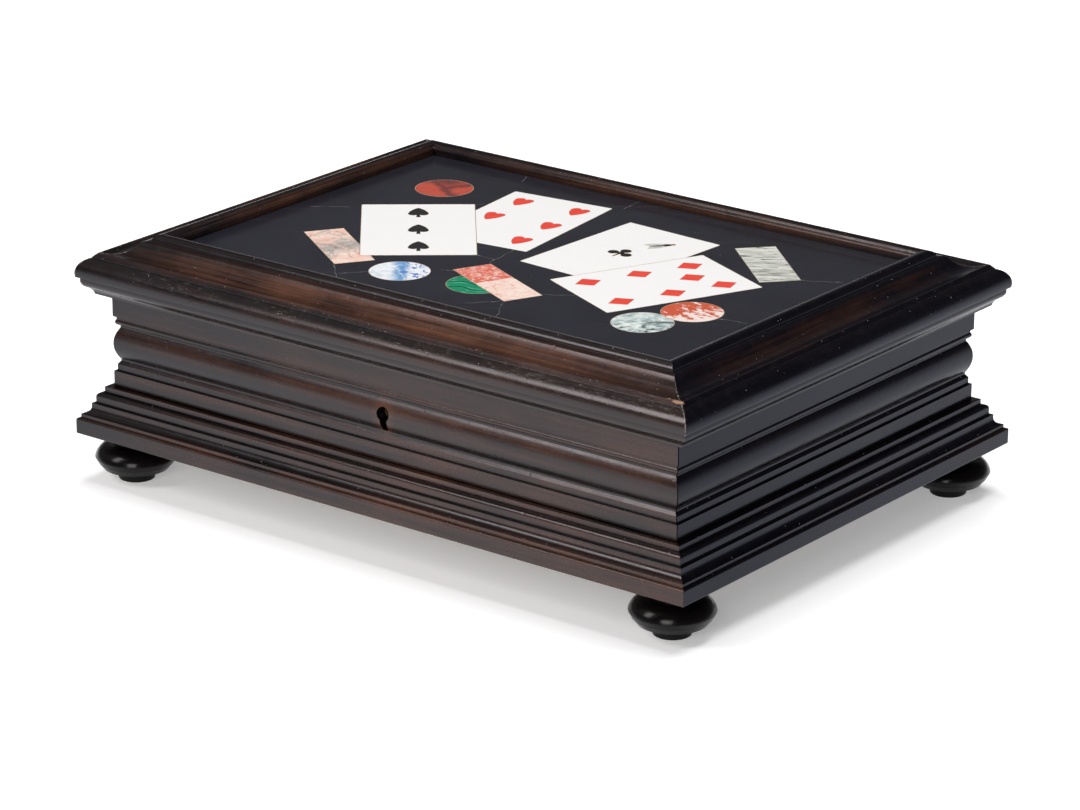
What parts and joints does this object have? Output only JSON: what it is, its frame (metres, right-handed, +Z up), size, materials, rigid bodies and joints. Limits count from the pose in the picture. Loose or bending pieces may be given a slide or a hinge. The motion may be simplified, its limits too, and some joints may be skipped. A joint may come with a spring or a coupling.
{
  "type": "playing card box with drawer",
  "caption": "Low moulded wooden box on bun feet, with a stone-inlaid slate top in a moulded frame and a locking drawer behind its mitred front.",
  "frame": {"origin": "middle of the box's footprint, on the surface it stands on", "axes": "+X along the long front, to the viewer's right; -Y is the front, where the drawer comes out; +Z is up"},
  "size_m": [0.37, 0.274, 0.1256],
  "materials": {
    "ebonised_wood": "black-stained hardwood, satin wax polish, brown where it has rubbed through",
    "carcase_wood": "plain planed softwood, unpolished",
    "drawer_wood": "polished reddish-brown hardwood",
    "steel": "plain steel screws and pin",
    "brass": "dull old brass",
    "slate": "honed and polished black slate",
    "white_marble": "polished white marble",
    "black_stone": "polished black marble",
    "red_stone": "polished red stone",
    "red_jasper": "polished red-brown jasper",
    "blue_stone": "blue and white mottled stone",
    "malachite": "banded green malachite",
    "grey_breccia": "grey, white and green mottled marble",
    "veined_red_marble": "red marble with white veins",
    "pink_marble": "pink and grey mottled marble",
    "rose_marble": "rose marble with red veins",
    "banded_grey_marble": "grey-green banded marble",
    "brown_stone": "polished dark brown stone",
    "smoky_stone": "polished smoky grey stone"
  },
  "bodies": {
    "case": {"base_front": "ebonised_wood", "base_right": "ebonised_wood", "base_back": "ebonised_wood", "base_left": "ebonised_wood", "wall_right": "ebonised_wood", "wall_back": "ebonised_wood", "wall_left": "ebonised_wood", "top_front": "ebonised_wood", "top_right": "ebonised_wood", "top_back": "ebonised_wood", "top_left": "ebonised_wood", "foot_front_left": "ebonised_wood", "foot_front_right": "ebonised_wood", "foot_back_left": "ebonised_wood", "foot_back_right": "ebonised_wood", "bottom_board": "carcase_wood", "bottom_screws": "steel", "runner_left": "carcase_wood", "runner_right": "carcase_wood", "drawer_stops": "carcase_wood", "strike_rail": "carcase_wood", "strike_plate": "brass", "top_board": "carcase_wood", "top_screws": "steel", "slate_slab": "slate", "card_spades": "white_marble", "card_hearts": "white_marble", "card_clubs": "white_marble", "card_diamonds": "white_marble", "counter_red": "red_jasper", "counter_blue": "blue_stone", "counter_green": "malachite", "counter_grey": "grey_breccia", "counter_veined": "veined_red_marble", "marker_left": "pink_marble", "marker_front": "rose_marble", "marker_right": "banded_grey_marble", "pips_spades": "black_stone", "pips_hearts": "red_stone", "pip_club": "black_stone", "pips_diamonds": "red_stone", "insect_body": "brown_stone", "insect_wings": "smoky_stone"},
    "drawer": {"drawer_front": "ebonised_wood", "drawer_side_left": "drawer_wood", "drawer_side_right": "drawer_wood", "drawer_back": "drawer_wood", "drawer_panel": "drawer_wood", "divider_left": "drawer_wood", "divider_right": "drawer_wood", "divider_cross_left": "drawer_wood", "divider_cross_middle": "drawer_wood", "divider_cross_right": "drawer_wood", "lock_plate": "brass", "lock_case": "brass", "lock_drill_pin": "steel", "lock_screws": "brass"},
    "lock_bolt": {"lock_bolt": "brass"}
  },
  "joints": [
    {"name": "drawer_slide", "type": "slide", "parent": "case", "child": "drawer", "axis": [0, -1, 0], "range_m": [0, 0.155]},
    {"name": "bolt_slide", "type": "slide", "parent": "drawer", "child": "lock_bolt", "axis": [0, 0, 1], "range_m": [0, 0.005]}
  ]
}
